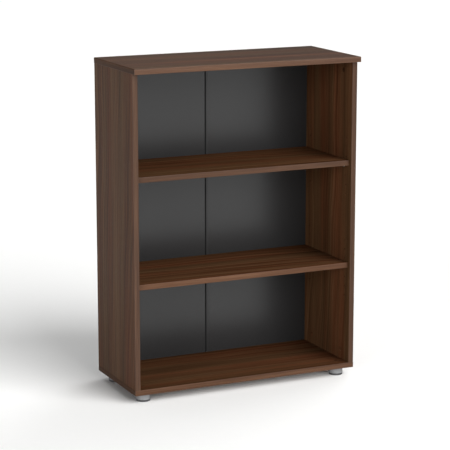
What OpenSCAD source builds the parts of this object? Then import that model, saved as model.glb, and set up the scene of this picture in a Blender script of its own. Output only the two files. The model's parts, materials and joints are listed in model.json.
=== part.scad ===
// Bookcase with three compartments and two adjustable shelves.
// Flat-pack cabinet: the sides stand on the bottom panel and carry the top, held by cam
// fittings and dowels. A two-piece back sits in a rebate, and four feet level it.
// X runs left to right, Y front to back, Z up. The origin is the middle of the base.

/* [Overall] */
// Width over the top panel
overall_w = 800; // [600:10:1200]
// Depth over the top panel
overall_d = 350; // [290:5:450]
// Height from the floor to the top face
overall_h = 1090; // [950:10:1400]

/* [Boards] */
// Thickness of every board
board_t = 18; // [16:1:25]
// Thickness of the edging strips
edging_t = 2; // [0.5:0.5:3]
// How far the top stands out past each side
top_overhang_side = 1; // [0:0.5:10]
// How far the top stands out past the front of the sides
top_overhang_front = 22; // [0:1:40]

/* [Shelves] */
// Clear height of the lowest compartment
lower_opening_h = 328; // [250:1:360]
// Clear height of the middle compartment
middle_opening_h = 331; // [250:1:360]
// How far the shelves stand back from the front of the sides
shelf_setback = 13; // [5:1:40]
// Gap between a shelf's end and the side
shelf_side_gap = 1; // [0.5:0.5:3]
// Gap between a shelf's rear edge and the strip down the back
shelf_rear_gap = 2; // [1:0.5:10]

/* [Support holes] */
// Distance from one hole to the next
hole_pitch = 32; // [25:1:40]
// Holes above and below the middle hole of each group
rows_each_way = 3; // [1:1:3]
// Distance of a hole column from the edge of the side
hole_column_inset = 37; // [25:1:60]
// Diameter of a support hole
hole_dia = 5; // [4:0.5:6]
// Depth of a support hole
hole_depth = 12; // [9:0.5:13]

/* [Back] */
// Thickness of the back panels
back_t = 3; // [2.5:0.5:5]
// Width of the rebate that the back sits in
rebate_w = 10; // [8:0.5:12]
// Width of the flanges of the joint strip
strip_w = 12; // [10:1:30]
// Thickness of the flanges of the joint strip
strip_flange_t = 1; // [0.8:0.1:2]
// Thickness of the web of the joint strip
strip_web_t = 2; // [1:0.5:4]

/* [Feet] */
// Height of the underside of the bottom panel above the floor
foot_h = 29; // [24:1:60]
// Diameter of a foot
foot_dia = 48; // [36:1:60]
// Distance of a foot's centre from the outer face of the side
foot_inset_side = 44; // [34:1:80]
// Distance of a foot's centre from the front or rear of the carcass
foot_inset_front = 43; // [34:1:80]
// How far a foot screws out
foot_travel = 12; // [5:1:12]

/* [Hidden] */

$fn = 64;
walnut = [0.35, 0.25, 0.19];
edge_walnut = [0.44, 0.33, 0.26];
graphite = [0.27, 0.27, 0.28];
steel = [0.72, 0.72, 0.74];
beech = [0.80, 0.66, 0.47];
sleeve_grey = [0.55, 0.55, 0.56];
base_grey = [0.16, 0.16, 0.17];

// Radial clearance of every round fit
fit = 0.05;
// Length by which a cutting tool passes the face it cuts
over = 1;

// Carcass faces
carcass_w = overall_w - 2 * top_overhang_side;
side_x = carcass_w / 2;
inner_x = side_x - board_t;
rear_y = overall_d / 2;
top_front_y = -overall_d / 2;
front_y = top_front_y + top_overhang_front;
floor_z = foot_h + board_t;
ceiling_z = overall_h - board_t;

// Shelves: where the underside of each lies, and how far back each runs
lower_shelf_z = floor_z + lower_opening_h;
upper_shelf_z = lower_shelf_z + board_t + middle_opening_h;
rebate_d = back_t + strip_flange_t;
back_face_y = rear_y - rebate_d;
strip_face_y = back_face_y - strip_flange_t;
shelf_front_y = front_y + shelf_setback;
shelf_rear_y = strip_face_y - shelf_rear_gap;
shelf_x = inner_x - shelf_side_gap;

// Shelf supports: a plug in the hole and a flat-topped head under the shelf
plug_len = 8;
head_dia = 8;
head_len = 9;
head_gap = 0.3;
flat_above_plug = 3;
column_ys = [front_y + hole_column_inset, rear_y - hole_column_inset];

// Cam fittings and dowels: a pair of each in each of the four corner joints. The bore for a
// cam goes past the middle of the board, where the bolt's head lies in the cam's slot.
joint_inset = 60;
cam_set_back = 34;
cam_dia = 15;
cam_slot = 8;
cam_end_gap = 0.2;
cap_dia = 17;
cap_t = 0.8;
cap_stem_dia = 5;
cap_stem_len = 2;
cam_bore_depth = board_t / 2 + cam_slot / 2;
cam_len = cam_bore_depth - cap_t - cam_end_gap;
bolt_shank_dia = 7;
bolt_neck_dia = 4;
bolt_neck_len = 6;
bolt_head_len = 4;
bolt_thread_dia = 5;
bolt_thread_len = 10.5;
bolt_bore_dia = 8;
dowel_dia = 8;
dowel_len = 30;
dowel_in_panel = 12;
dowel_step = 32;
end_gap = 0.5;
joint_ys = [front_y + joint_inset, rear_y - joint_inset];
dowel_ys = [joint_ys[0] + dowel_step, joint_ys[1] - dowel_step];

// Back panels and their screws
panel_gap = 1;
web_gap = 0.5;
screw_dia = 3;
screw_len = 14;
screw_head_dia = 6;
screws_up_a_side = 5;
screws_along_an_end = 2;
screw_end_inset = 60;
back_x = inner_x + rebate_w;
back_low_z = floor_z - rebate_w;
back_high_z = ceiling_z + rebate_w;

// Feet
base_h = 6;
base_gap = 0.5;
base_dia = foot_dia - 2;
sleeve_wall = 2.5;
sleeve_plate = 4;
boss_dia = 16;
boss_lift = 3;
collar_dia = 10;
collar_len = 12;
spindle_dia = 8;
spindle_socket = 4;
key_flats = 4;
key_depth = 5;
access_cap_dia = 13;
access_cap_t = 0.8;
access_stem_len = 3;
foot_x = side_x - foot_inset_side;
foot_front_y = front_y + foot_inset_front;
foot_rear_y = rear_y - foot_inset_front;
sleeve_low_z = base_h + base_gap;

// The four feet, from the floor up
module at_feet() {
    for (x = [-foot_x, foot_x], y = [foot_front_y, foot_rear_y]) translate([x, y, 0]) children();
}

// A box between two corners
module block(low, high) {
    translate(low) cube(high - low);
}

// A round bar along X, from x0 to x1
module bar_x(x0, x1, y, z, dia) {
    translate([min(x0, x1), y, z]) rotate([0, 90, 0]) cylinder(h = abs(x1 - x0), d = dia);
}

// A round bar along Y, from y0 to y1
module bar_y(x, y0, y1, z, dia) {
    translate([x, max(y0, y1), z]) rotate([90, 0, 0]) cylinder(h = abs(y1 - y0), d = dia);
}

// A round bar along Z, from z0 to z1
module bar_z(x, y, z0, z1, dia) {
    translate([x, y, min(z0, z1)]) cylinder(h = abs(z1 - z0), d = dia);
}

// The four corner joints: child 0 is drawn with its joint plane at Z = 0, with the
// panel above it and the side below it, on the centre line of the side
module at_corner_joints(ys) {
    mid_x = side_x - board_t / 2;
    for (x = [-mid_x, mid_x], y = ys) {
        translate([x, y, ceiling_z]) children();
        translate([x, y, floor_z]) mirror([0, 0, 1]) children();
    }
}

// Bore in the end of a side, from the joint plane to the cam
module bolt_end_bore() {
    bar_z(0, 0, -cam_set_back, over, bolt_bore_dia);
}

// Bores in the panel for the bolt's thread and for the dowel
module thread_bore() {
    bar_z(0, 0, -over, bolt_thread_len + end_gap, bolt_thread_dia + 2 * fit);
}
module dowel_bore() {
    reach = dowel_in_panel + end_gap;
    bar_z(0, 0, reach - dowel_len - 2 * end_gap, reach, dowel_dia + 2 * fit);
}

// The rebate round the rear of the carcass, cut from every board that it crosses
module back_rebate() {
    block([-back_x, back_face_y, back_low_z], [back_x, rear_y + over, back_high_z]);
}

// Where the screws of the back go: up both sides, and along the top and the bottom
module at_back_screws() {
    x = back_x - rebate_w / 2;
    rise = (ceiling_z - floor_z - 2 * screw_end_inset) / (screws_up_a_side - 1);
    reach = (inner_x - strip_w - screw_end_inset) / screws_along_an_end;
    for (s = [-1, 1]) {
        for (i = [0 : screws_up_a_side - 1])
            translate([s * x, rear_y, floor_z + screw_end_inset + i * rise]) children();
        for (i = [1 : screws_along_an_end], z = [floor_z - rebate_w / 2, ceiling_z + rebate_w / 2])
            translate([s * i * reach, rear_y, z]) children();
    }
}
module screw_bore(extra) {
    bar_y(0, over, -rebate_d - screw_len, 0, screw_dia + 2 * extra);
}

module side_panel(s) {
    outer = s * side_x;
    inner = s * inner_x;
    difference() {
        block([min(outer, inner), front_y + edging_t, floor_z], [max(outer, inner), rear_y, ceiling_z]);
        back_rebate();
        at_corner_joints(joint_ys) bolt_end_bore();
        at_corner_joints(dowel_ys) dowel_bore();
        for (y = joint_ys, z = [floor_z + cam_set_back, ceiling_z - cam_set_back])
            bar_x(inner - s * over, inner + s * cam_bore_depth, y, z, cam_dia + 2 * fit);
        for (shelf_z = [lower_shelf_z, upper_shelf_z], row = [-rows_each_way : rows_each_way], y = column_ys) {
            z = shelf_z - flat_above_plug + row * hole_pitch;
            bar_x(inner - s * over, inner + s * hole_depth, y, z, hole_dia);
        }
        at_back_screws() screw_bore(fit);
    }
}

module side_front_edging(s) {
    outer = s * side_x;
    inner = s * inner_x;
    block([min(outer, inner), front_y, floor_z], [max(outer, inner), front_y + edging_t, ceiling_z]);
}

// Top
module top_panel() color(walnut) difference() {
    block(
        [-overall_w / 2 + edging_t, top_front_y + edging_t, ceiling_z],
        [overall_w / 2 - edging_t, rear_y, overall_h]
    );
    back_rebate();
    at_corner_joints(joint_ys) thread_bore();
    at_corner_joints(dowel_ys) dowel_bore();
    at_back_screws() screw_bore(fit);
}
module top_front_edging() color(edge_walnut)
    block([-overall_w / 2, top_front_y, ceiling_z], [overall_w / 2, top_front_y + edging_t, overall_h]);
module top_side_edging(x) color(edge_walnut)
    block([x, top_front_y + edging_t, ceiling_z], [x + edging_t, rear_y, overall_h]);
module top_left_edging() top_side_edging(-overall_w / 2);
module top_right_edging() top_side_edging(overall_w / 2 - edging_t);

// Bottom
module bottom_panel() color(walnut) difference() {
    block(
        [-side_x + edging_t, front_y + edging_t, foot_h],
        [side_x - edging_t, rear_y, floor_z]
    );
    back_rebate();
    at_corner_joints(joint_ys) thread_bore();
    at_corner_joints(dowel_ys) dowel_bore();
    at_back_screws() screw_bore(fit);
    at_feet() bar_z(0, 0, foot_h - over, floor_z + over, collar_dia + 2 * fit);
}
module bottom_front_edging() color(edge_walnut)
    block([-side_x, front_y, foot_h], [side_x, front_y + edging_t, floor_z]);
module bottom_side_edging(x) color(edge_walnut)
    block([x, front_y + edging_t, foot_h], [x + edging_t, rear_y, floor_z]);
module bottom_left_edging() bottom_side_edging(-side_x);
module bottom_right_edging() bottom_side_edging(side_x - edging_t);

// Sides
module left_side_panel() color(walnut) side_panel(-1);
module left_side_front_edging() color(edge_walnut) side_front_edging(-1);
module right_side_panel() color(walnut) side_panel(1);
module right_side_front_edging() color(edge_walnut) side_front_edging(1);

// Back: two thin panels in the rebate, joined by an H-shaped strip down the middle
module back_panel(s) {
    near = s * (strip_web_t / 2 + web_gap);
    far = s * (back_x - panel_gap);
    difference() {
        block(
            [min(near, far), back_face_y, back_low_z + panel_gap],
            [max(near, far), back_face_y + back_t, back_high_z - panel_gap]
        );
        at_back_screws() screw_bore(2 * fit);
    }
}
module back_panel_left() color(graphite) back_panel(-1);
module back_panel_right() color(graphite) back_panel(1);
module back_joint_strip() color(graphite) {
    low = floor_z + end_gap;
    high = ceiling_z - end_gap;
    union() {
        block([-strip_w / 2, strip_face_y, low], [strip_w / 2, back_face_y, high]);
        block([-strip_web_t / 2, strip_face_y, low], [strip_web_t / 2, rear_y, high]);
        block([-strip_w / 2, back_face_y + back_t, low], [strip_w / 2, rear_y, high]);
    }
}
module back_panel_screws() color(steel) at_back_screws() union() {
    bar_y(0, -strip_flange_t, -rebate_d - screw_len + end_gap, 0, screw_dia);
    bar_y(0, 0, -strip_flange_t, 0, screw_head_dia);
}

// Cam fittings: a bolt in the panel, and a disc in the side that draws its head in
module cam_bolts() color(steel) at_corner_joints(joint_ys) {
    neck_z = -cam_set_back + bolt_neck_len + over;
    head_z = neck_z - bolt_neck_len;
    union() {
        bar_z(0, 0, 0, bolt_thread_len, bolt_thread_dia);
        bar_z(0, 0, neck_z, 0, bolt_shank_dia);
        bar_z(0, 0, head_z, neck_z, bolt_neck_dia);
        bar_z(0, 0, head_z - bolt_head_len, head_z, bolt_shank_dia);
    }
}
module cam_disc(s) {
    face = -s * board_t / 2;
    difference() {
        bar_x(face + s * cap_t, face + s * (cap_t + cam_len), 0, -cam_set_back, cam_dia);
        translate([-cam_slot / 2, -cam_slot / 2, -cam_set_back - cam_slot / 2 - over])
            cube([cam_slot, cam_slot, cam_dia]);
        bar_x(face, face + s * (cap_t + cap_stem_len + end_gap), 0, -cam_set_back, cap_stem_dia + 2 * fit);
    }
}
module cam_cap(s) {
    face = -s * board_t / 2;
    union() {
        bar_x(face - s * cap_t, face, 0, -cam_set_back, cap_dia);
        bar_x(face, face + s * (cap_t + cap_stem_len), 0, -cam_set_back, cap_stem_dia);
    }
}
module at_side_joints(s, ys) {
    for (y = ys) {
        translate([s * (side_x - board_t / 2), y, ceiling_z]) children();
        translate([s * (side_x - board_t / 2), y, floor_z]) mirror([0, 0, 1]) children();
    }
}
module cam_discs() color(steel) for (s = [-1, 1]) at_side_joints(s, joint_ys) cam_disc(s);
module cam_cover_caps() color(walnut) for (s = [-1, 1]) at_side_joints(s, joint_ys) cam_cap(s);
module wooden_dowels() color(beech) at_corner_joints(dowel_ys)
    bar_z(0, 0, dowel_in_panel - dowel_len, dowel_in_panel, dowel_dia);

// Shelves, each with the four supports that it rests on
module shelf_board(z) {
    block([-shelf_x, shelf_front_y + edging_t, z], [shelf_x, shelf_rear_y, z + board_t]);
}
module shelf_front_edging(z) {
    block([-shelf_x, shelf_front_y, z], [shelf_x, shelf_front_y + edging_t, z + board_t]);
}
module shelf_support(s, y, z) {
    inner = s * inner_x;
    union() {
        bar_x(inner + s * plug_len, inner - s * head_gap, y, z - flat_above_plug, hole_dia - 2 * fit);
        difference() {
            bar_x(inner - s * head_gap, inner - s * (head_gap + head_len), y, z - flat_above_plug, head_dia);
            block([-side_x, y - head_dia, z], [side_x, y + head_dia, z + head_dia]);
        }
    }
}
module shelf_supports(z) {
    for (s = [-1, 1], y = column_ys) shelf_support(s, y, z);
}
module upper_shelf_board() color(walnut) shelf_board(upper_shelf_z);
module upper_shelf_front_edging() color(edge_walnut) shelf_front_edging(upper_shelf_z);
module upper_shelf_supports() color(steel) shelf_supports(upper_shelf_z);
module lower_shelf_board() color(walnut) shelf_board(lower_shelf_z);
module lower_shelf_front_edging() color(edge_walnut) shelf_front_edging(lower_shelf_z);
module lower_shelf_supports() color(steel) shelf_supports(lower_shelf_z);

// Feet: a sleeve knocked into the bottom panel, and a spindle that screws down out of it and
// turns in the base. A key turns the spindle from inside, through a capped hole in the panel.
module foot_access_caps() color(walnut) at_feet() union() {
    bar_z(0, 0, floor_z, floor_z + access_cap_t, access_cap_dia);
    bar_z(0, 0, floor_z - access_stem_len, floor_z, collar_dia);
}
module foot_sleeve(x, y) {
    boss_low = sleeve_low_z + boss_lift;
    translate([x, y, 0]) difference() {
        union() {
            difference() {
                bar_z(0, 0, sleeve_low_z, foot_h, foot_dia);
                bar_z(0, 0, sleeve_low_z - over, foot_h - sleeve_plate, foot_dia - 2 * sleeve_wall);
            }
            bar_z(0, 0, boss_low, foot_h, boss_dia);
            bar_z(0, 0, foot_h - over, foot_h + collar_len, collar_dia);
        }
        bar_z(0, 0, boss_low - over, foot_h + collar_len + over, spindle_dia + 2 * fit);
    }
}
module foot_base(x, y) {
    translate([x, y, 0]) difference() {
        bar_z(0, 0, 0, base_h, base_dia);
        bar_z(0, 0, base_h - spindle_socket, base_h + over, spindle_dia + 2 * fit);
    }
}
module foot_spindle(x, y) {
    high = foot_h + collar_len - end_gap;
    difference() {
        bar_z(x, y, base_h - spindle_socket, high, spindle_dia);
        translate([x, y, high - key_depth])
            cylinder(h = key_depth + over, d = key_flats / cos(30), $fn = 6);
    }
}
module front_left_foot_sleeve() color(sleeve_grey) foot_sleeve(-foot_x, foot_front_y);
module front_left_foot_base() color(base_grey) foot_base(-foot_x, foot_front_y);
module front_left_foot_spindle() color(steel) foot_spindle(-foot_x, foot_front_y);
module front_right_foot_sleeve() color(sleeve_grey) foot_sleeve(foot_x, foot_front_y);
module front_right_foot_base() color(base_grey) foot_base(foot_x, foot_front_y);
module front_right_foot_spindle() color(steel) foot_spindle(foot_x, foot_front_y);
module rear_left_foot_sleeve() color(sleeve_grey) foot_sleeve(-foot_x, foot_rear_y);
module rear_left_foot_base() color(base_grey) foot_base(-foot_x, foot_rear_y);
module rear_left_foot_spindle() color(steel) foot_spindle(-foot_x, foot_rear_y);
module rear_right_foot_sleeve() color(sleeve_grey) foot_sleeve(foot_x, foot_rear_y);
module rear_right_foot_base() color(base_grey) foot_base(foot_x, foot_rear_y);
module rear_right_foot_spindle() color(steel) foot_spindle(foot_x, foot_rear_y);

top_panel();
top_front_edging();
top_left_edging();
top_right_edging();
bottom_panel();
bottom_front_edging();
bottom_left_edging();
bottom_right_edging();
left_side_panel();
left_side_front_edging();
right_side_panel();
right_side_front_edging();
back_panel_left();
back_panel_right();
back_joint_strip();
back_panel_screws();
cam_bolts();
cam_discs();
cam_cover_caps();
wooden_dowels();
foot_access_caps();
upper_shelf_board();
upper_shelf_front_edging();
upper_shelf_supports();
lower_shelf_board();
lower_shelf_front_edging();
lower_shelf_supports();
front_left_foot_sleeve();
front_left_foot_base();
front_left_foot_spindle();
front_right_foot_sleeve();
front_right_foot_base();
front_right_foot_spindle();
rear_left_foot_sleeve();
rear_left_foot_base();
rear_left_foot_spindle();
rear_right_foot_sleeve();
rear_right_foot_base();
rear_right_foot_spindle();
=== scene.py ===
# %% [markdown]
# # A walnut bookcase with adjustable shelves
#
# This lesson dresses a finished cabinet design. The boards, bores and joints come from the
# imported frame, where every size is already right, so nothing here moves or resizes them. What is
# left for Blender is what the eye reads first: the printed walnut grain, the rounded edging, the
# turned feet with their threads, and the small hardware that shows when you look inside.
#
# Everything is in metres: X runs to the right, Y to the back and Z up, with the origin on the
# floor under the middle of the cabinet.

# %% Load the frame
import json
import math

import bmesh
import bpy
from mathutils import Matrix, Vector


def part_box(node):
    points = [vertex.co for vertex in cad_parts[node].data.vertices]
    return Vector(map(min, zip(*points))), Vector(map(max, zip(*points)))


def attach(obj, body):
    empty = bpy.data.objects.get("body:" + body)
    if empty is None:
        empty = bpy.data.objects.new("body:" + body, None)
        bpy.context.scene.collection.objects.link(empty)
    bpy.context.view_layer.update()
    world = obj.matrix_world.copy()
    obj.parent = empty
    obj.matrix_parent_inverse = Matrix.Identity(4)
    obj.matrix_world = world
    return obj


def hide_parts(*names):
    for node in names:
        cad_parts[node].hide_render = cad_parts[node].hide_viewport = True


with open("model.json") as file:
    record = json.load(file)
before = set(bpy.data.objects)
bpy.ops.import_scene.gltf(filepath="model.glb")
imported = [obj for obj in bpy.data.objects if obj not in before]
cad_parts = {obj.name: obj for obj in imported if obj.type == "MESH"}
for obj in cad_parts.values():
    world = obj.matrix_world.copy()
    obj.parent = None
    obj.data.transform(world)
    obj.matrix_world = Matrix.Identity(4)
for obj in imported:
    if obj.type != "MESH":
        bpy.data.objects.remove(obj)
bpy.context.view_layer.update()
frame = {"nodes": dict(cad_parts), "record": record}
scene = bpy.context.scene
MM = 0.001

# %% [markdown]
# Two small helpers read the frame. The first gives a node's middle and its size, the second says
# which body a node rides on. Every place used later is worked out from these.

# %% Read places from the frame
BODY_OF = {
    node: body
    for body, members in frame["record"]["behaviour"]["bodies"].items()
    for node in members
}


def middle_and_size(node):
    low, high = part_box(node)
    low, high = Vector(low), Vector(high)
    return (low + high) / 2, high - low


print("the top board is", [round(v, 3) for v in middle_and_size("top_panel")[1]])

# %% [markdown]
# ## Camera
# The view is from the left and a little above, through a long lens from about six metres, so
# upright edges stay nearly parallel. The camera is turned and tilted first, then drawn back from
# the point it aims at, so each number means one thing and can be changed on its own.

# %% Set the camera
CAMERA_AIM = Vector((-0.01, 0.0, 0.53))
CAMERA_AWAY = 6.07
CAMERA_TURN = 25
CAMERA_TILT = 12
CAMERA_LENS = 146

lens = bpy.data.cameras.new("camera")
lens.sensor_width = 36
lens.lens = CAMERA_LENS
camera = bpy.data.objects.new("camera", lens)
camera.rotation_euler = (math.radians(90 - CAMERA_TILT), 0, -math.radians(CAMERA_TURN))
backwards = camera.rotation_euler.to_matrix() @ Vector((0, 0, 1))
camera.location = CAMERA_AIM + backwards * CAMERA_AWAY
scene.collection.objects.link(camera)
scene.camera = camera
print("camera at", [round(v, 2) for v in camera.location])

# %% [markdown]
# ## Shader helper
# Materials here are node graphs. Written out in full they are long, so one helper adds a node,
# sets its options, and fills its sockets with either a number or another node's output.

# %% A short way to write nodes
def add(tree, kind, sockets=None, out=0, **options):
    """Adds a node and returns one of its outputs; sockets maps a name or number to a value."""
    node = tree.nodes.new(kind)
    for option, value in options.items():
        setattr(node, option, value)
    for key, value in (sockets or {}).items():
        if isinstance(value, bpy.types.NodeSocket):
            tree.links.new(value, node.inputs[key])
        else:
            node.inputs[key].default_value = value
    return node.outputs[out]


def math_node(tree, operation, a, b=0.0):
    return add(tree, "ShaderNodeMath", {0: a, 1: b}, operation=operation)


def mix_value(tree, factor, a, b):
    return add(tree, "ShaderNodeMix", {0: factor, 2: a, 3: b}, data_type="FLOAT")


def mix_colour(tree, factor, a, b, blend="MIX"):
    options = {"data_type": "RGBA", "blend_type": blend}
    return add(tree, "ShaderNodeMix", {0: factor, 6: a, 7: b}, out=2, **options)


def noise(tree, vector, scale, detail=2.0, roughness=0.5):
    sockets = {"Vector": vector, "Scale": scale, "Detail": detail, "Roughness": roughness}
    return add(tree, "ShaderNodeTexNoise", sockets)


def ramp(tree, factor, stops):
    """A colour ramp; stops is a list of (place, colour)."""
    node = tree.nodes.new("ShaderNodeValToRGB")
    band = node.color_ramp
    while len(band.elements) < len(stops):
        band.elements.new(0.5)
    for element, (place, colour) in zip(band.elements, stops):
        element.position = place
        element.color = (*colour, 1)
    tree.links.new(factor, node.inputs["Fac"])
    return node.outputs["Color"]


def new_material(name):
    material = bpy.data.materials.new(name)
    material.use_nodes = True
    shader = material.node_tree.nodes["Principled BSDF"]
    return material, material.node_tree, shader


print("helpers ready")

# %% [markdown]
# ## Walnut
# The boards are chipboard with a printed walnut film, pressed with fine pores. Real walnut shows
# growth rings cut by the saw: straight lines where the cut is square to them, and long arches
# where it grazes them. The pattern is made the same way. A tree trunk's rings are laid slightly
# tilted to the board, so the distance from the trunk's heart gives lines in one place and arches
# in another. Broad streaks, fine streaks and short dark pores are laid over them.
#
# Each board has its own piece of trunk, so no two boards match, and the grain runs along it.

# %% The grain of one board
AXES = {"x": "X", "y": "Y", "z": "Z"}
RING_FINENESS = 75.0
RING_DRIFT = 0.14


def board_space(tree, along, thick, shift):
    """Object coordinates turned so that X runs along the grain and Z through the board."""
    across = next(a for a in "xyz" if a not in (along, thick))
    place = add(tree, "ShaderNodeTexCoord", out=3)
    parts = tree.nodes.new("ShaderNodeSeparateXYZ")
    tree.links.new(place, parts.inputs[0])
    turned = add(
        tree,
        "ShaderNodeCombineXYZ",
        {
            "X": parts.outputs[AXES[along]],
            "Y": parts.outputs[AXES[across]],
            "Z": parts.outputs[AXES[thick]],
        },
    )
    return add(tree, "ShaderNodeMapping", {"Vector": turned, "Location": shift})


def stretched(tree, vector, along, across):
    return add(tree, "ShaderNodeMapping", {"Vector": vector, "Scale": (along, across, across)})


def ring_tone(tree, space, heart, tilt):
    """Growth rings: noise along the distance from a trunk's heart that tilts past the board."""
    wander = noise(tree, stretched(tree, space, 1.3, 3.0), 1.0, 2.0)
    parts = tree.nodes.new("ShaderNodeSeparateXYZ")
    tree.links.new(space, parts.inputs[0])
    drift = math_node(tree, "MULTIPLY", wander, RING_DRIFT)
    side = math_node(tree, "ADD", math_node(tree, "SUBTRACT", parts.outputs["Y"], heart), drift)
    depth = math_node(tree, "MULTIPLY", parts.outputs["X"], tilt)
    side_square = math_node(tree, "MULTIPLY", side, side)
    depth_square = math_node(tree, "MULTIPLY", depth, depth)
    squares = math_node(tree, "ADD", side_square, depth_square)
    distance = math_node(tree, "SQRT", squares)
    rings = tree.nodes.new("ShaderNodeTexNoise")
    rings.noise_dimensions = "1D"
    rings.inputs["Scale"].default_value = RING_FINENESS
    rings.inputs["Detail"].default_value = 3.0
    rings.inputs["Roughness"].default_value = 0.62
    tree.links.new(distance, rings.inputs["W"])
    return rings.outputs[0]


def tinted(colour, light):
    return tuple(channel * light for channel in colour)


DARKEST = (0.022, 0.0088, 0.0042)
DARK = (0.043, 0.0180, 0.0086)
MID = (0.070, 0.0315, 0.0155)
PALE = (0.112, 0.0560, 0.0300)
REDDISH = (1.10, 0.93, 0.84)
OLIVE = (0.92, 1.04, 0.98)

# How fine each pattern is along the grain and across it; a larger number is finer.
BROAD_STREAKS = (0.9, 24.0)
FINE_STREAKS = (7.0, 330.0)
PORES = (38.0, 1300.0)
HUE_BANDS = (0.6, 15.0)
FINE_SHARE = 0.22
PORE_SHARE = 0.45


def walnut(
    name, along, thick, shift, light=1.0, heart=0.05, tilt=0.1, figure=0.5, sheen=0.0, contrast=1.0
):
    """Printed walnut; heart and tilt place the trunk, figure is the share of its rings.

    light scales every tone, contrast spreads the tones about the middle one, sheen is the gloss.
    """
    material, tree, shader = new_material(name)
    space = board_space(tree, along, thick, shift)
    rings = ring_tone(tree, space, heart, tilt)
    broad = noise(tree, stretched(tree, space, *BROAD_STREAKS), 1.0, 3.0, 0.55)
    fine = noise(tree, stretched(tree, space, *FINE_STREAKS), 1.0, 3.0, 0.6)
    pores = noise(tree, stretched(tree, space, *PORES), 1.0, 1.0)
    tone = mix_value(tree, figure, broad, rings)
    tone = mix_value(tree, FINE_SHARE, tone, fine)
    spread = math_node(tree, "MULTIPLY", tone, contrast)
    tone = math_node(tree, "ADD", spread, 0.5 - 0.5 * contrast)
    stops = [(0.34, DARKEST), (0.44, DARK), (0.54, MID), (0.67, PALE)]
    # Scaling the tones by light paints light and shade: a board is made lighter or darker for the
    # light it gets.
    colour = ramp(tree, tone, [(place, tinted(c, light)) for place, c in stops])

    # The wood turns from reddish to olive in bands of its own, wider than the streaks.
    hue = noise(tree, stretched(tree, space, *HUE_BANDS), 1.3, 2.0)
    tint = ramp(tree, hue, [(0.38, REDDISH), (0.62, OLIVE)])
    colour = mix_colour(tree, 1.0, colour, tint, "MULTIPLY")

    pits = add(tree, "ShaderNodeMapRange", {"Value": pores, "From Min": 0.60, "From Max": 0.72})
    pit_share = math_node(tree, "MULTIPLY", pits, PORE_SHARE)
    darkened = mix_colour(tree, pit_share, colour, (*tinted(DARKEST, light), 1))
    tree.links.new(darkened, shader.inputs["Base Color"])
    rough = add(tree, "ShaderNodeMapRange", {"Value": fine, "To Min": 0.26, "To Max": 0.40})
    tree.links.new(rough, shader.inputs["Roughness"])
    shader.inputs["Specular IOR Level"].default_value = sheen
    height = math_node(tree, "SUBTRACT", math_node(tree, "MULTIPLY", fine, 0.35), pits)
    bump = add(tree, "ShaderNodeBump", {"Height": height, "Strength": 0.35, "Distance": 0.0003})
    tree.links.new(bump, shader.inputs["Normal"])
    return material


print("walnut ready")

# %% [markdown]
# The big boards take the grain the way they are cut. Sides run upright, so their grain does too;
# the top, the bottom and the shelves run left to right. The thin direction of each board is named
# as well, because the trunk tilts through it. All the boards carry one film, so in a workshop they
# would be equal. Here light, sheen and contrast are set for each board, to even out the light that
# it gets in this set. Start from equal values if the lights change.

# %% Finish the boards
# Each light value below is painted light and shade for that board's place in the light.
BOARDS = {
    "top_panel": walnut(
        "walnut_top", "x", "z", (0.4, 1.1, 0.3),
        light=1.1, heart=0.10, tilt=0.22, sheen=0.03, contrast=1.2,
    ),
    "bottom_panel": walnut(
        "walnut_bottom", "x", "z", (2.2, 4.0, 1.1),
        light=1.2, heart=-0.07, tilt=0.16, contrast=0.7,
    ),
    "left_side_panel": walnut(
        "walnut_left_side", "z", "x", (3.1, 0.7, 2.0),
        light=1.0, heart=0.09, tilt=0.12, sheen=0.022, contrast=0.9,
    ),
    "right_side_panel": walnut(
        "walnut_right_side", "z", "x", (5.3, 2.9, 0.6),
        light=1.1, heart=-0.05, tilt=0.15, contrast=0.6,
    ),
    "upper_shelf_board": walnut(
        "walnut_upper_shelf", "x", "z", (6.4, 1.9, 3.7),
        light=1.3, heart=0.12, tilt=0.14, contrast=0.8,
    ),
    "lower_shelf_board": walnut(
        "walnut_lower_shelf", "x", "z", (8.8, 3.3, 2.4),
        light=1.2, heart=-0.10, tilt=0.18, contrast=0.65,
    ),
}
for node, material in BOARDS.items():
    board = frame["nodes"][node]
    board.data.materials.clear()
    board.data.materials.append(material)
print("boards finished:", len(BOARDS))

# %% [markdown]
# ## Edging
# A saw leaves the raw chipboard showing on every board's edge. A plastic strip in the same walnut,
# glued on and trimmed, hides it. Its two outer arrises are rounded, and that soft edge is what
# catches the light along the front. The strips differ only in length and direction, so one
# Geometry Nodes tree makes them all: a rectangle with two rounded corners, swept along a line.

# %% A tree helper
def new_tree(name, inputs):
    """A geometry tree with these named inputs; returns it and its Group Input node."""
    tree = bpy.data.node_groups.new(name, "GeometryNodeTree")
    tree.interface.new_socket("Geometry", in_out="OUTPUT", socket_type="NodeSocketGeometry")
    for label, kind in inputs.items():
        tree.interface.new_socket(label, in_out="INPUT", socket_type="NodeSocket" + kind)
    return tree, tree.nodes.new("NodeGroupInput")


def close_tree(tree, geometry, finish):
    """Ends a tree with Realize Instances and Set Material."""
    real = add(tree, "GeometryNodeRealizeInstances", {"Geometry": geometry})
    painted = add(tree, "GeometryNodeSetMaterial", {"Geometry": real, "Material": finish})
    output = tree.nodes.new("NodeGroupOutput")
    tree.links.new(painted, output.inputs["Geometry"])


def grow(tree, name, start=None, **values):
    """Runs a tree once and returns its result as a plain mesh object."""
    carrier = bpy.data.objects.new(name + "_carrier", start or bpy.data.meshes.new(name + "_start"))
    scene.collection.objects.link(carrier)
    modifier = carrier.modifiers.new("grow", "NODES")
    modifier.node_group = tree
    for item in tree.interface.items_tree:
        if item.in_out == "INPUT" and item.name in values:
            modifier[item.identifier] = values[item.name]
    view = bpy.context.evaluated_depsgraph_get()
    mesh = bpy.data.meshes.new_from_object(carrier.evaluated_get(view))
    mesh.name = name
    bpy.data.objects.remove(carrier)
    return show(name, mesh)


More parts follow.
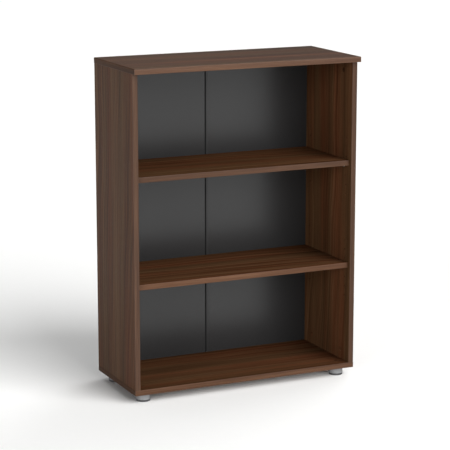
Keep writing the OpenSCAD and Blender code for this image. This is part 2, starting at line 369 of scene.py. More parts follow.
def show(name, mesh, smooth=35):
    """Puts a mesh in the scene, smooth except along edges sharper than this many degrees."""
    mesh.shade_smooth()
    mesh.set_sharp_from_angle(angle=math.radians(smooth))
    obj = bpy.data.objects.new(name, mesh)
    scene.collection.objects.link(obj)
    return obj


def settle(obj, node):
    """Hides the CAD node that a finished piece stands for, and puts the piece on its body."""
    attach(obj, BODY_OF[node])
    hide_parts(node)


print("tree helpers ready")

# %% The edging tree
strip_tree, strip_in = new_tree(
    "edging_strip",
    {
        "Length": "Float",
        "Thickness": "Float",
        "Height": "Float",
        "Arris": "Float",
        "Finish": "Material",
    },
)
section = add(
    strip_tree,
    "GeometryNodeCurvePrimitiveQuadrilateral",
    {"Width": strip_in.outputs["Thickness"], "Height": strip_in.outputs["Height"]},
    mode="RECTANGLE",
)
corner_x = strip_tree.nodes.new("ShaderNodeSeparateXYZ")
strip_tree.links.new(add(strip_tree, "GeometryNodeInputPosition"), corner_x.inputs[0])
is_outer = math_node(strip_tree, "LESS_THAN", corner_x.outputs["X"], 0.0)
radius = math_node(strip_tree, "MULTIPLY", is_outer, strip_in.outputs["Arris"])
rounded = add(
    strip_tree,
    "GeometryNodeFilletCurve",
    {"Curve": section, "Radius": radius, "Count": 6, "Limit Radius": True},
    mode="POLY",
)
far_end = add(strip_tree, "ShaderNodeCombineXYZ", {"Z": strip_in.outputs["Length"]})
path = add(strip_tree, "GeometryNodeCurvePrimitiveLine", {"End": far_end})
swept = add(
    strip_tree,
    "GeometryNodeCurveToMesh",
    {"Curve": path, "Profile Curve": rounded, "Fill Caps": True},
)
close_tree(strip_tree, swept, strip_in.outputs["Finish"])
print("edging tree has", len(strip_tree.nodes), "nodes")

# %% [markdown]
# The strip is plastic, printed to match, so its grain is plainer than the boards': fine streaks
# along its length, a little paler, and with a slightly duller shine than the film.

# %% The edging's finish
def edging_finish(name, along, shift, light=1.0, sheen=0.25):
    material, tree, shader = new_material(name)
    space = board_space(tree, along, "x" if along != "x" else "y", shift)
    broad = noise(tree, stretched(tree, space, 1.4, 60.0), 1.0, 3.0, 0.6)
    fine = noise(tree, stretched(tree, space, 9.0, 520.0), 1.0, 3.0, 0.6)
    tone = mix_value(tree, 0.45, broad, fine)
    stops = [(0.32, DARK), (0.50, MID), (0.68, PALE)]
    # Scaling the tones by light paints light and shade, as on the boards.
    colour = ramp(tree, tone, [(place, tinted(c, light)) for place, c in stops])
    tree.links.new(colour, shader.inputs["Base Color"])
    rough = add(tree, "ShaderNodeMapRange", {"Value": fine, "To Min": 0.34, "To Max": 0.46})
    tree.links.new(rough, shader.inputs["Roughness"])
    shader.inputs["Specular IOR Level"].default_value = sheen
    bump = add(tree, "ShaderNodeBump", {"Height": fine, "Strength": 0.2, "Distance": 0.0002})
    tree.links.new(bump, shader.inputs["Normal"])
    return material


# The fourth number is painted light and shade: each strip is a lighter or darker copy of one finish
# for the light it gets, and the deep ones on the ends are darkest.
TOP_EDGE = {
    "x": edging_finish("top_edge_level", "x", (1.3, 0.4, 0.2), 1.0),
    "y": edging_finish("top_edge_deep", "y", (0.9, 2.4, 1.2), 0.6, 0.03),
}
LEFT_EDGE = {"z": edging_finish("left_edge_upright", "z", (2.7, 1.4, 3.2), 0.7)}
RIGHT_EDGE = {"z": edging_finish("right_edge_upright", "z", (4.1, 2.2, 0.9), 0.7, 0.2)}
UPPER_EDGE = {"x": edging_finish("upper_shelf_edge", "x", (4.3, 1.4, 0.7), 0.8, 0.2)}
LOWER_EDGE = {"x": edging_finish("lower_shelf_edge", "x", (6.1, 2.4, 1.7), 1.1, 0.15)}
BOTTOM_EDGE = {
    "x": edging_finish("bottom_edge_level", "x", (3.6, 0.9, 2.6), 0.9, 0.15),
    "y": edging_finish("bottom_edge_deep", "y", (5.2, 1.9, 0.4), 0.6, 0.03),
}
print("edging finishes ready")

# %% Lay the strips
ARRIS = 1.5 * MM
INTO = {"front": Vector((0, 1, 0)), "left": Vector((1, 0, 0)), "right": Vector((-1, 0, 0))}


def edging(node, face, finishes):
    """A strip in the place of a CAD strip, its rounded arrises towards the named face."""
    middle, size = middle_and_size(node)
    inward = INTO[face]
    spans = [(size[i], i) for i in range(3) if not inward[i]]
    height, height_axis = min(spans)
    length, length_axis = max(spans)
    up = Vector([1.0 if i == height_axis else 0.0 for i in range(3)])
    along = inward.cross(up)
    strip = grow(
        strip_tree,
        node.replace("_edging", "_edge_strip"),
        Length=length,
        Thickness=abs(size.dot(inward)),
        Height=height,
        Arris=ARRIS,
        Finish=finishes["xyz"[length_axis]],
    )
    turn = Matrix((inward, up, along)).transposed().to_4x4()
    strip.data.transform(Matrix.Translation(middle - along * length / 2) @ turn)
    settle(strip, node)


STRIPS = {
    "top_front_edging": ("front", TOP_EDGE),
    "top_left_edging": ("left", TOP_EDGE),
    "top_right_edging": ("right", TOP_EDGE),
    "bottom_front_edging": ("front", BOTTOM_EDGE),
    "bottom_left_edging": ("left", BOTTOM_EDGE),
    "bottom_right_edging": ("right", BOTTOM_EDGE),
    "left_side_front_edging": ("front", LEFT_EDGE),
    "right_side_front_edging": ("front", RIGHT_EDGE),
    "upper_shelf_front_edging": ("front", UPPER_EDGE),
    "lower_shelf_front_edging": ("front", LOWER_EDGE),
}
for node, (face, finishes) in STRIPS.items():
    edging(node, face, finishes)
print("strips laid:", len(STRIPS))

# %% [markdown]
# ## The back
# The back is two thin sheets of hardboard with a graphite film. The film is nearly plain, with a
# very fine speckle that takes the shine off it. A plastic strip of H section joins the sheets: a
# narrow flange shows in front and behind, and its arrises are eased so that the sheets slide in.
# Such a strip shows with a dark line along its left. What makes the line can't be seen, so it is a
# guess here: the front flange gets a lower, matt lip on that side, coloured near black as painted
# shade for the line.

# %% Graphite film and the joint strip
def speckled(name, colour, spread, roughness, grain=900.0, depth=0.00015):
    """A plain dark finish with a fine speckle in its colour, its shine and its surface."""
    material, tree, shader = new_material(name)
    place = add(tree, "ShaderNodeTexCoord", out=3)
    fine = noise(tree, place, grain, 2.0, 0.6)
    cloud = noise(tree, place, 6.0, 2.0)
    tone = mix_value(tree, 0.25, fine, cloud)
    stops = [(0.3, tinted(colour, 1 - spread)), (0.7, tinted(colour, 1 + spread))]
    tree.links.new(ramp(tree, tone, stops), shader.inputs["Base Color"])
    least, most = roughness - 0.05, roughness + 0.05
    rough = add(tree, "ShaderNodeMapRange", {"Value": fine, "To Min": least, "To Max": most})
    tree.links.new(rough, shader.inputs["Roughness"])
    bump = add(tree, "ShaderNodeBump", {"Height": fine, "Strength": 0.25, "Distance": depth})
    tree.links.new(bump, shader.inputs["Normal"])
    return material


GRAPHITE = speckled("graphite_film", (0.018, 0.018, 0.0185), 0.10, 0.28)
STRIP_PLASTIC = speckled("graphite_plastic", (0.012, 0.012, 0.0125), 0.06, 0.36, grain=1500.0)
# The lip's near-black colour is painted shade for the dark line beside the strip.
LIP_SHADE = speckled("lip_painted_shade", (0.006, 0.006, 0.006), 0.06, 0.60, grain=1500.0)
LIP_SHADE.node_tree.nodes["Principled BSDF"].inputs["Specular IOR Level"].default_value = 0.1
for node in ("back_panel_left", "back_panel_right"):
    sheet = frame["nodes"][node]
    sheet.data.materials.clear()
    sheet.data.materials.append(GRAPHITE)


def eased(points, radius, steps=4):
    """A closed outline with every corner rounded by the same radius."""
    out = []
    for i, corner in enumerate(points):
        corner = Vector(corner)
        before = (Vector(points[i - 1]) - corner).normalized()
        after = (Vector(points[(i + 1) % len(points)]) - corner).normalized()
        for step in range(steps + 1):
            share = step / steps
            bend = before * (1 - share) ** 2 + after * share**2
            out.append(corner + bend * radius)
    return out


def extruded(name, outline, low, high):
    """An upright bar with this outline in X and Y."""
    form = bmesh.new()
    loop = [form.verts.new((x, y, low)) for x, y in outline]
    foot = form.faces.new(loop)
    raised = bmesh.ops.extrude_face_region(form, geom=[foot])["geom"]
    top = [v for v in raised if isinstance(v, bmesh.types.BMVert)]
    bmesh.ops.translate(form, vec=(0, 0, high - low), verts=top)
    bmesh.ops.recalc_face_normals(form, faces=form.faces)
    mesh = bpy.data.meshes.new(name)
    form.to_mesh(mesh)
    form.free()
    return mesh


LIP_WIDTH = 4.5 * MM
LIP_STEP = 0.5 * MM
WEB_GAP = 0.5 * MM
STRIP_EASE = 0.2 * MM
HAIR = 0.1 * MM
strip_low, strip_high = (Vector(c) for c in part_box("back_joint_strip"))
sheet_low, sheet_high = (Vector(c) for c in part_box("back_panel_left"))
half_web = -sheet_high.x - WEB_GAP
front_lip, rear_lip = sheet_low.y, sheet_high.y
right_half = [
    (strip_high.x, strip_low.y),
    (strip_high.x, front_lip),
    (half_web, front_lip),
    (half_web, rear_lip),
    (strip_high.x, rear_lip),
    (strip_high.x, strip_high.y),
]
left_half = [(-x, y) for x, y in reversed(right_half)]
lip_end = LIP_WIDTH - strip_high.x
lip_face = strip_low.y + LIP_STEP
left_half[-1:] = [(-strip_high.x, lip_face), (lip_end, lip_face), (lip_end, strip_low.y)]
profile = eased(right_half + left_half, STRIP_EASE)
joint_strip = show(
    "back_joint_profile", extruded("back_joint_profile", profile, strip_low.z, strip_high.z)
)
joint_strip.data.materials.append(STRIP_PLASTIC)
joint_strip.data.materials.append(LIP_SHADE)
# The lip's faces take the second finish, the painted shade.
for face in joint_strip.data.polygons:
    if face.center.x < lip_end + HAIR and face.center.y < front_lip:
        face.material_index = 1
settle(joint_strip, "back_joint_strip")
print("joint strip", len(joint_strip.data.polygons), "faces")

# %% [markdown]
# ## Turned parts
# Feet, caps, screw heads and supports are all round, so each is drawn as half a section and spun
# round its axis, as on a lathe. Sharp corners in the section get small arcs first.

# %% A lathe
ON_AXIS = 1e-7


def softened(outline, steps=4):
    """Rounds the corners of a half section; each point is (radius, height, corner radius)."""
    out = []
    for i, (r, z, soft) in enumerate(outline):
        corner = Vector((r, z))
        if not soft or i in (0, len(outline) - 1):
            out.append(corner)
            continue
        before = (Vector(outline[i - 1][:2]) - corner).normalized()
        after = (Vector(outline[i + 1][:2]) - corner).normalized()
        for step in range(steps + 1):
            share = step / steps
            out.append(corner + (before * (1 - share) ** 2 + after * share**2) * soft)
    return out


def turned(name, outline, segments=64):
    """Spins a half section round Z; it may start and end on the axis or close on itself."""
    points = softened(outline)
    form = bmesh.new()
    rings = []
    for r, z in points:
        if r < ON_AXIS:
            rings.append([form.verts.new((0, 0, z))])
            continue
        turns = [2 * math.pi * k / segments for k in range(segments)]
        rings.append([form.verts.new((r * math.cos(t), r * math.sin(t), z)) for t in turns])
    closed = points[0].x > ON_AXIS
    pairs = list(zip(rings, rings[1:] + rings[:1])) if closed else list(zip(rings, rings[1:]))
    for lower, upper in pairs:
        for k in range(segments):
            corners = [lower[k % len(lower)], lower[(k + 1) % len(lower)]]
            corners += [upper[(k + 1) % len(upper)], upper[k % len(upper)]]
            unique = list(dict.fromkeys(corners))
            if len(unique) > 2:
                form.faces.new(unique)
    bmesh.ops.recalc_face_normals(form, faces=form.faces)
    mesh = bpy.data.meshes.new(name)
    form.to_mesh(mesh)
    form.free()
    return mesh


print("lathe ready")

# %% [markdown]
# ## Feet
# Each foot has three parts. A silver plastic sleeve is knocked into the bottom board. A steel
# spindle screws through it, and turns in a dark base that stands on the floor. The sleeve hides
# the spindle until the foot is screwed out, and then its thread shows, so it is cut for real.

# %% Plastics and steel
SILVER = speckled("silver_plastic", (0.175, 0.175, 0.178), 0.05, 0.42, grain=1400.0, depth=0.0001)
GLIDE = speckled("dark_glide", (0.030, 0.030, 0.032), 0.10, 0.60, grain=1100.0)


def metal(name, colour, roughness, brush):
    """Plated steel: a metal with a fine uneven shine."""
    material, tree, shader = new_material(name)
    shader.inputs["Metallic"].default_value = 1.0
    place = add(tree, "ShaderNodeTexCoord", out=3)
    fine = noise(tree, place, brush, 3.0, 0.6)
    stops = [(0.3, tinted(colour, 0.88)), (0.7, tinted(colour, 1.05))]
    tree.links.new(ramp(tree, fine, stops), shader.inputs["Base Color"])
    least, most = roughness - 0.08, roughness + 0.08
    rough = add(tree, "ShaderNodeMapRange", {"Value": fine, "To Min": least, "To Max": most})
    tree.links.new(rough, shader.inputs["Roughness"])
    bump = add(tree, "ShaderNodeBump", {"Height": fine, "Strength": 0.15, "Distance": 0.00005})
    tree.links.new(bump, shader.inputs["Normal"])
    return material


ZINC = metal("zinc_plate", (0.62, 0.63, 0.65), 0.34, 1800.0)
NICKEL = metal("nickel_plate", (0.66, 0.63, 0.58), 0.24, 2600.0)
print("plastics and steel ready")

# %% Sleeves and bases
FEET = [f"{end}_{side}" for end in ("front", "rear") for side in ("left", "right")]
SLEEVE_WALL = 2.5 * MM
SLEEVE_PLATE = 4 * MM
BOSS_RADIUS = 8 * MM
BOSS_LIFT = 3 * MM
COLLAR_RADIUS = 5 * MM
COLLAR_LENGTH = 12 * MM
BORE_RADIUS = 4.05 * MM
SOCKET_DEPTH = 4.1 * MM
LOW_BEAD = 4 * MM
TOP_BEAD = 1 * MM
WAIST = 0.5 * MM
RIM = 5 * MM
HOLLOW = 0.4 * MM
DISH = 5 * MM
DISH_DEPTH = 0.6 * MM
SOFT = 0.8 * MM


def sleeve_section(radius, low, high):
    """The sleeve: a collar in the board, a plate, a bored boss, and a wall with two beads."""
    plate_top = high - COLLAR_LENGTH
    plate_low = plate_top - SLEEVE_PLATE
    inside = radius - SLEEVE_WALL
    boss_low = low + BOSS_LIFT
    bead = low + LOW_BEAD
    waist_top = plate_top - TOP_BEAD - WAIST
    return [
        (COLLAR_RADIUS, plate_top, 0),
        (COLLAR_RADIUS, high, SOFT),
        (BORE_RADIUS, high, SOFT / 4),
        (BORE_RADIUS, boss_low, SOFT / 2),
        (BOSS_RADIUS, boss_low, SOFT / 2),
        (BOSS_RADIUS, plate_low, SOFT),
        (inside, plate_low, SOFT),
        (inside, low, SOFT / 2),
        (radius, low, SOFT),
        (radius, bead, SOFT / 4),
        (radius - WAIST, bead + WAIST, SOFT / 4),
        (radius - WAIST, waist_top, SOFT / 4),
        (radius, plate_top - TOP_BEAD, SOFT / 4),
        (radius, plate_top, SOFT / 4),
    ]


def base_section(radius, high):
    """The base: a rim round a shallow hollow below, and a dish round the spindle's socket above."""
    return [
        (0, HOLLOW, 0),
        (radius - RIM, HOLLOW, SOFT / 4),
        (radius - RIM - 0.5 * MM, 0, SOFT / 4),
        (radius - SOFT, 0, SOFT / 2),
        (radius, SOFT, SOFT / 2),
        (radius, high, SOFT),
        (BORE_RADIUS + DISH, high, SOFT / 4),
        (BORE_RADIUS, high - DISH_DEPTH, SOFT / 4),
        (BORE_RADIUS, high - SOCKET_DEPTH, SOFT / 4),
        (0, high - SOCKET_DEPTH, 0),
    ]


for foot in FEET:
    middle, size = middle_and_size(f"{foot}_foot_sleeve")
    low, high = middle.z - size.z / 2, middle.z + size.z / 2
    sleeve = turned(f"{foot}_sleeve", sleeve_section(size.x / 2, low, high))
    sleeve.transform(Matrix.Translation((middle.x, middle.y, 0)))
    sleeve.materials.append(SILVER)
    settle(show(f"{foot}_sleeve", sleeve), f"{foot}_foot_sleeve")

    middle, size = middle_and_size(f"{foot}_foot_base")
    base = turned(f"{foot}_glide_base", base_section(size.x / 2, size.z))
    base.transform(Matrix.Translation((middle.x, middle.y, 0)))
    base.materials.append(GLIDE)
    settle(show(f"{foot}_glide_base", base), f"{foot}_foot_base")
print("feet turned:", len(FEET))

# %% [markdown]
# A thread is a small triangle swept up a helix round a core. Geometry Nodes has the helix as the
# Spiral curve, so the tree needs only the pitch, the radius and the length. The curve's normal is
# set to Z Up, or the triangle would roll over as it climbs, and a half turn points its tip
# outwards. The core comes in as an object, since its top has a six-sided socket for the key, which
# a plain cylinder node can't give.

# %% The thread tree
thread_tree, thread_in = new_tree(
    "threaded_rod",
    {
        "Core": "Object",
        "Radius": "Float",
        "Foot": "Float",
        "Length": "Float",
        "Pitch": "Float",
        "Ridge": "Float",
        "Finish": "Material",
    },
)
turns = math_node(thread_tree, "DIVIDE", thread_in.outputs["Length"], thread_in.outputs["Pitch"])
helix = add(
    thread_tree,
    "GeometryNodeCurveSpiral",
    {
        "Resolution": 20,
        "Rotations": turns,
        "Start Radius": thread_in.outputs["Radius"],
        "End Radius": thread_in.outputs["Radius"],
        "Height": thread_in.outputs["Length"],
    },
)
upright = add(thread_tree, "GeometryNodeSetCurveNormal", {"Curve": helix}, mode="Z_UP")
ridge = add(
    thread_tree,
    "GeometryNodeCurvePrimitiveCircle",
    {"Resolution": 3, "Radius": thread_in.outputs["Ridge"]},
    mode="RADIUS",
)
half_turn = (0, 0, math.pi)
outward = add(thread_tree, "GeometryNodeTransform", {"Geometry": ridge, "Rotation": half_turn})
winding = add(
    thread_tree,
    "GeometryNodeCurveToMesh",
    {"Curve": upright, "Profile Curve": outward, "Fill Caps": True},
)
lift = add(thread_tree, "ShaderNodeCombineXYZ", {"Z": thread_in.outputs["Foot"]})
lifted = add(thread_tree, "GeometryNodeTransform", {"Geometry": winding, "Translation": lift})
core_in = {"Object": thread_in.outputs["Core"]}
core = add(thread_tree, "GeometryNodeObjectInfo", core_in, out="Geometry")
joined = thread_tree.nodes.new("GeometryNodeJoinGeometry")
for part in (core, lifted):
    thread_tree.links.new(part, joined.inputs["Geometry"])
close_tree(thread_tree, joined.outputs["Geometry"], thread_in.outputs["Finish"])
print("thread tree has", len(thread_tree.nodes), "nodes")

# %% A socket in a turned part
CLOSE = 1e-6


def reshaped(mesh, radius, reach):
    """Moves every point that lies at this radius to the radius that reach gives for its angle."""
    for vertex in mesh.vertices:
        flat = Vector((vertex.co.x, vertex.co.y))
        if abs(flat.length - radius) < CLOSE:
            grown = flat * (reach(math.atan2(flat.y, flat.x)) / radius)
            vertex.co.x, vertex.co.y = grown
    return mesh


def six_sided(flats):
    """The outline of a hexagon of this size across its flats, with its corners at 0, 60, 120..."""
    side = math.radians(60)
    return lambda angle: flats / 2 / math.cos(angle % side - side / 2)


PITCH = 1.25 * MM
RIDGE = 0.62 * MM
KEY_FLATS = 4 * MM
KEY_DEPTH = 5 * MM
PIVOT = 4.5 * MM
PIVOT_CHAMFER = 0.8 * MM
TOP_CHAMFER = 0.5 * MM


def spindle_core(name, radius, low, high):
    """A round core with a chamfered pivot below and a six-sided socket for a key in its top."""
    key = KEY_FLATS / 2
    outline = [
        (0, low, 0),
        (radius - PIVOT_CHAMFER, low, 0),
        (radius, low + PIVOT_CHAMFER, 0),
        (radius, high - TOP_CHAMFER, 0),
        (radius - TOP_CHAMFER, high, 0),
        (key, high, 0),
        (key, high - KEY_DEPTH, 0),
        (0, high - KEY_DEPTH, 0),
    ]
    return reshaped(turned(name, outline, segments=36), key, six_sided(KEY_FLATS))


for foot in FEET:
    middle, size = middle_and_size(f"{foot}_foot_spindle")
    low, high = middle.z - size.z / 2, middle.z + size.z / 2
    root = size.x / 2 - RIDGE
    blank = bpy.data.objects.new("core", spindle_core(f"{foot}_core", root, low, high))
    scene.collection.objects.link(blank)
    rod = grow(
        thread_tree,
        f"{foot}_spindle",
        Core=blank,
        Radius=root,
        Foot=low + PIVOT,
        Length=size.z - PIVOT - PITCH,
        Pitch=PITCH,
        Ridge=RIDGE,
        Finish=ZINC,
    )
    bpy.data.objects.remove(blank)
    rod.data.transform(Matrix.Translation((middle.x, middle.y, 0)))
    settle(rod, f"{foot}_foot_spindle")
print("spindle", [round(v / MM, 2) for v in rod.dimensions], "mm,", len(rod.data.polygons), "faces")

# %% [markdown]
# ## Small hardware
# Caps, screws and supports repeat at places that the design sets: two caps at each corner joint,
# screws round the back, four supports a shelf. One tree sets any of them out. It takes a mesh
# whose points are the places, each with a turn, and puts a copy of a piece on every point.

# %% The tree that sets pieces out
set_tree, set_in = new_tree(
    "set_out", {"Places": "Geometry", "Piece": "Object", "Finish": "Material"}
)
turn = add(set_tree, "GeometryNodeInputNamedAttribute", {"Name": "turn"}, data_type="FLOAT_VECTOR")
rotation = add(set_tree, "FunctionNodeEulerToRotation", {"Euler": turn})
piece = add(set_tree, "GeometryNodeObjectInfo", {"Object": set_in.outputs["Piece"]}, out="Geometry")
copies = add(
    set_tree,
    "GeometryNodeInstanceOnPoints",
    {"Points": set_in.outputs["Places"], "Instance": piece, "Rotation": rotation},
)
close_tree(set_tree, copies, set_in.outputs["Finish"])


def solids_of(node):
    """The low and high corner of each separate solid in a CAD node, in a steady order."""
    form = bmesh.new()
    form.from_mesh(frame["nodes"][node].data)
    bmesh.ops.remove_doubles(form, verts=form.verts, dist=CLOSE)
    unseen = set(form.verts)
    boxes = []
    while unseen:
        island, edge = set(), [unseen.pop()]
        while edge:
            vertex = edge.pop()
            island.add(vertex)
            near = {e.other_vert(vertex) for e in vertex.link_edges} & unseen
            unseen -= near
            edge.extend(near)
        spans = [[v.co[i] for v in island] for i in range(3)]
        boxes.append((Vector(min(s) for s in spans), Vector(max(s) for s in spans)))
    form.free()
    return sorted(boxes, key=lambda box: [round(c, 4) for c in box[0]])


def set_out(name, mesh, places, finish, node):
    """Copies of a piece at (point, turn) places, as one plain mesh that stands for a CAD node."""
    pattern = bpy.data.meshes.new(name + "_places")
    pattern.from_pydata([point for point, _ in places], [], [])
    turns = pattern.attributes.new("turn", "FLOAT_VECTOR", "POINT")
    for item, (_, angles) in zip(turns.data, places):
        item.vector = angles
    single = bpy.data.objects.new(name + "_single", mesh)
    scene.collection.objects.link(single)
    result = grow(set_tree, name, pattern, Piece=single, Finish=finish)
    bpy.data.objects.remove(single)
    settle(result, node)
    print(name, "x", len(places), "-", len(result.data.polygons), "faces")
    return result


QUARTER = math.pi / 2
print("there are", len(solids_of("back_panel_screws")), "screws in the back")

# %% [markdown]
# The caps are thin plastic discs, printed like the boards. A cap's face is a shallow dome, and its
# rim is rounded down to the board, so it shows as a faint ring.

# %% Caps over the cams and over the key holes
def cap(name, radius, rise, stem_radius, stem_length):
    """A domed cap facing +Z from the plane Z = 0, with a hollow stem below it."""
    wall = 0.8 * MM
    dome = 0.35
    outline = [
        (0, rise, 0),
        (radius * 0.5, rise * (1 - dome * 0.2), 0),
        (radius * 0.8, rise * (1 - dome * 0.6), 0),
        (radius - 0.1 * MM, rise * (1 - dome), 0.2 * MM),
        (radius, 0, 0.15 * MM),
        (stem_radius, 0, 0.1 * MM),
        (stem_radius, 0.3 * MM - stem_length, 0),
        (stem_radius - 0.3 * MM, -stem_length, 0),
        (stem_radius - wall, -stem_length, 0),
        (stem_radius - wall, 0, 0),
        (0, 0, 0),
    ]
    return turned(name, outline, segments=48)


CAM_STEM_RADIUS = 2.5 * MM
KEY_STEM_RADIUS = 5 * MM
CAP_FINISH = walnut("walnut_caps", "y", "x", (4.4, 5.1, 0.9), figure=0.2)
cam_places = []
for low, high in solids_of("cam_cover_caps"):
    on_left = low.x < 0
    wall_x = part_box("left_side_panel")[1].x if on_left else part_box("right_side_panel")[0].x
    middle = (low + high) / 2
    cam_places.append(((wall_x, middle.y, middle.z), (0, QUARTER if on_left else -QUARTER, 0)))
low, high = solids_of("cam_cover_caps")[0]
cap_rise = high.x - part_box("left_side_panel")[1].x
stem_length = high.x - low.x - cap_rise
cap_mesh = cap("cam_cap", (high.y - low.y) / 2, cap_rise, CAM_STEM_RADIUS, stem_length)
set_out("cam_caps", cap_mesh, cam_places, CAP_FINISH, "cam_cover_caps")

panel_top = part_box("bottom_panel")[1].z
low, high = solids_of("foot_access_caps")[0]
key_radius = (high.x - low.x) / 2
key_cap = cap("key_cap", key_radius, high.z - panel_top, KEY_STEM_RADIUS, panel_top - low.z)
key_places = [
    (((low.x + high.x) / 2, (low.y + high.y) / 2, panel_top), (0, 0, 0))
    for low, high in solids_of("foot_access_caps")
]
KEY_CAP_FINISH = walnut("walnut_key_caps", "x", "z", (7.4, 2.1, 5.9), figure=0.2)
set_out("key_hole_caps", key_cap, key_places, KEY_CAP_FINISH, "foot_access_caps")

# %% [markdown]
# The screws in the back are small pan heads with a cross recess. The recess is the same trick as
# the key socket: a ring of the turned head is pushed out to the outline of a plus sign.

# %% Screws of the back
def plus_sign(arm, half_width):
    """The outline of a plus sign, as a radius for each angle."""
    def reach(angle):
        turn = (angle + QUARTER / 2) % QUARTER - QUARTER / 2
        return min(arm / math.cos(turn), half_width / max(abs(math.sin(turn)), 1e-6))
    return reach


def panel_screw(name, head_radius, head_height, shank_radius, length):
    """A screw along -Z with its head above Z = 0; the thread is cut as rings, out of sight."""
    recess = head_radius * 0.55
    floor_of_recess = -0.5 * MM
    pitch = 1.1 * MM
    root = shank_radius - 0.4 * MM
    tip = 3 * MM
    outline = [(0, floor_of_recess, 0), (recess, floor_of_recess + 0.2 * MM, 0)]
    outline += [(recess, head_height, 0)]
    outline += [(head_radius * 0.72, head_height, 0), (head_radius * 0.93, head_height * 0.6, 0)]
    outline += [(head_radius, 0.15 * MM, 0), (head_radius, 0, 0), (root, 0, 0)]
    rings = int((length - tip) / pitch)
    for i in range(rings):
        z = -(i + 0.6) * pitch
        outline += [(root, z, 0), (shank_radius, z - 0.2 * MM, 0), (root, z - 0.4 * MM, 0)]
    outline += [(root, tip - length, 0), (0, -length, 0)]
    return reshaped(turned(name, outline, segments=32), recess, plus_sign(recess, recess * 0.34))


SHANK_RADIUS = 1.5 * MM
screws = solids_of("back_panel_screws")
low, high = screws[0]
sheet_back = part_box("back_panel_left")[1].y
screw_mesh = panel_screw(
    "screw",
    head_radius=(high.x - low.x) / 2,
    head_height=high.y - sheet_back,
    shank_radius=SHANK_RADIUS,
    length=sheet_back - low.y,
)
screw_places = [
    (((low.x + high.x) / 2, sheet_back, (low.z + high.z) / 2), (-QUARTER, 0, 0))
    for low, high in screws
]
set_out("panel_screws", screw_mesh, screw_places, ZINC, "back_panel_screws")

# %% [markdown]
# A shelf support is a nickel-plated pin: a plug that goes into a hole, and a head with a flat on
# top that the shelf rests on. It is turned first and the flat is cut after, as in a real workshop.

# %% Shelf supports
def support_pin(name, plug_radius, plug_length, gap, head_radius, head_length, flat):
    """A pin along +Z from the side's face at Z = 0, its flat towards +X."""
    outline = [
        (0, -plug_length, 0),
        (plug_radius - 0.6 * MM, -plug_length, 0),
        (plug_radius, 0.6 * MM - plug_length, 0),
        (plug_radius, gap, 0),
        (head_radius - 0.3 * MM, gap, 0),
        (head_radius, gap + 0.3 * MM, 0),
        (head_radius, gap + head_length - 0.9 * MM, 0),
        (head_radius - 0.9 * MM, gap + head_length, 0.5 * MM),
        (0, gap + head_length, 0),
    ]
    mesh = turned(name, outline, segments=48)
    form = bmesh.new()
    form.from_mesh(mesh)
    everything = form.verts[:] + form.edges[:] + form.faces[:]
    cut = bmesh.ops.bisect_plane(
        form, geom=everything, plane_co=(flat, 0, 0), plane_no=(1, 0, 0), clear_outer=True
    )
    rim = [e for e in cut["geom_cut"] if isinstance(e, bmesh.types.BMEdge)]
    bmesh.ops.edgeloop_fill(form, edges=rim)
    bmesh.ops.recalc_face_normals(form, faces=form.faces)
    form.to_mesh(mesh)
    form.free()
    return mesh


PLUG_RADIUS = 2.45 * MM
HEAD_GAP = 0.3 * MM
for level in ("upper", "lower"):
    node = f"{level}_shelf_supports"
    pins = solids_of(node)
    shelf_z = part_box(f"{level}_shelf_board")[0].z
    low, high = pins[0]
    left_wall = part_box("left_side_panel")[1].x
    head_radius = (high.y - low.y) / 2
    axis_z = low.z + head_radius
    pin_mesh = support_pin(
        node + "_pin",
        plug_radius=PLUG_RADIUS,
        plug_length=left_wall - low.x,
        gap=HEAD_GAP,
        head_radius=head_radius,
        head_length=high.x - left_wall - HEAD_GAP,
        flat=shelf_z - axis_z,
    )
    places = []
    for low, high in pins:
        on_left = low.x < 0
        wall_x = left_wall if on_left else -left_wall
        turn_up = (0, -QUARTER, math.pi) if on_left else (0, -QUARTER, 0)
        places.append(((wall_x, (low.y + high.y) / 2, axis_z), turn_up))
    set_out(f"{level}_support_pins", pin_mesh, places, NICKEL, node)

# %% [markdown]
# ## Out of sight
# The cam fittings and dowels hold the corners together and never show. They keep the shapes of
# the design, and only get their real finishes: zinc on the bolts, cast zinc on the discs and pale
# beech with its short flecks on the dowels.

# %% Finish the hidden fittings
def beech(name):
    material, tree, shader = new_material(name)
    space = board_space(tree, "z", "x", (0.2, 0.3, 0.1))
    streak = noise(tree, stretched(tree, space, 12.0, 300.0), 1.0, 2.0)
    fleck = noise(tree, stretched(tree, space, 150.0, 900.0), 1.0, 1.0)
    stops = [(0.35, (0.42, 0.25, 0.13)), (0.65, (0.62, 0.42, 0.25))]
    colour = ramp(tree, mix_value(tree, 0.35, streak, fleck), stops)
    tree.links.new(colour, shader.inputs["Base Color"])
    shader.inputs["Roughness"].default_value = 0.6
    bump = add(tree, "ShaderNodeBump", {"Height": streak, "Strength": 0.2, "Distance": 0.0001})
    tree.links.new(bump, shader.inputs["Normal"])
    return material


CAST_ZINC = metal("cast_zinc", (0.42, 0.43, 0.45), 0.48, 900.0)
FITTINGS = {"cam_bolts": ZINC, "cam_discs": CAST_ZINC, "wooden_dowels": beech("beech")}
for node, material in FITTINGS.items():
    fitting = frame["nodes"][node]
    fitting.data.materials.clear()
    fitting.data.materials.append(material)
print("hidden fittings finished")

# %% [markdown]
# ## The set
# A pale floor, wide enough to fill the view, and soft light. Each light is a far, wide panel, so
# it is a sun lamp with a large angle: its strength is then the same over the whole floor. The main
# one is on the right and in front, so the shadow falls to the left and the right-hand end of each
# compartment stays dark. A low one on the left lights the tall side, and a low one in front
# reaches under the shelves. The rest are simple fractions of the main one, to keep it the leader.
# The sky gives almost no light of its own, but is shown white where the view looks past the floor.

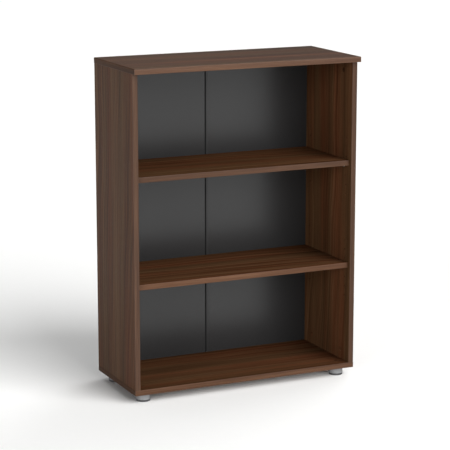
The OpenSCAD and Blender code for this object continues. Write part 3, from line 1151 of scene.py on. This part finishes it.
# %% Floor
def pale_floor(name, colour, glow):
    material, tree, shader = new_material(name)
    place = add(tree, "ShaderNodeTexCoord", out=3)
    grain = noise(tree, place, 40.0, 2.0)
    shade = ramp(tree, grain, [(0.2, tinted(colour, 0.99)), (0.8, colour)])
    tree.links.new(shade, shader.inputs["Base Color"])
    shader.inputs["Roughness"].default_value = 0.7
    shader.inputs["Emission Color"].default_value = (1, 1, 1, 1)
    shader.inputs["Emission Strength"].default_value = glow
    return material


FLOOR_HALF = 30.0
FLOOR_COLOUR = (0.94, 0.94, 0.93)
FLOOR_GLOW = 0.02
floor_mesh = bpy.data.meshes.new("floor")
corners = [(-1, -1), (1, -1), (1, 1), (-1, 1)]
points = [(x * FLOOR_HALF, y * FLOOR_HALF, 0) for x, y in corners]
floor_mesh.from_pydata(points, [], [(0, 1, 2, 3)])
floor_mesh.materials.append(pale_floor("pale_floor", FLOOR_COLOUR, FLOOR_GLOW))
floor = bpy.data.objects.new("floor", floor_mesh)
scene.collection.objects.link(floor)
print("floor laid")

# %% Lights
def far_panel(name, side, height, width, strength):
    """A wide far light; side is its angle from the front to the right, height its angle up."""
    lamp = bpy.data.lights.new(name, "SUN")
    lamp.energy = strength
    lamp.angle = math.radians(width)
    lamp_object = bpy.data.objects.new(name, lamp)
    lamp_object.rotation_euler = (math.radians(90 - height), 0, math.radians(side))
    scene.collection.objects.link(lamp_object)


MAIN = 3.6
far_panel("main", side=25, height=35, width=50, strength=MAIN)
far_panel("low_front", side=5, height=10, width=40, strength=MAIN / 4)
far_panel("low_left", side=-55, height=5, width=30, strength=MAIN * 0.6)
far_panel("rear_right", side=120, height=35, width=40, strength=MAIN / 4)
far_panel("overhead", side=0, height=90, width=60, strength=MAIN / 6)
far_panel("low_rear", side=155, height=15, width=40, strength=MAIN / 40)

SKY = 0.02
world = bpy.data.worlds.new("studio")
world.use_nodes = True
sky_tree = world.node_tree
background = sky_tree.nodes["Background"]
background.inputs["Color"].default_value = (1, 1, 1, 1)
seen = add(sky_tree, "ShaderNodeLightPath", out=0)
strength = add(sky_tree, "ShaderNodeMapRange", {"Value": seen, "To Min": SKY, "To Max": 1.0})
sky_tree.links.new(strength, background.inputs["Strength"])
scene.world = world
scene.view_settings.view_transform = "Standard"
print("lights set")
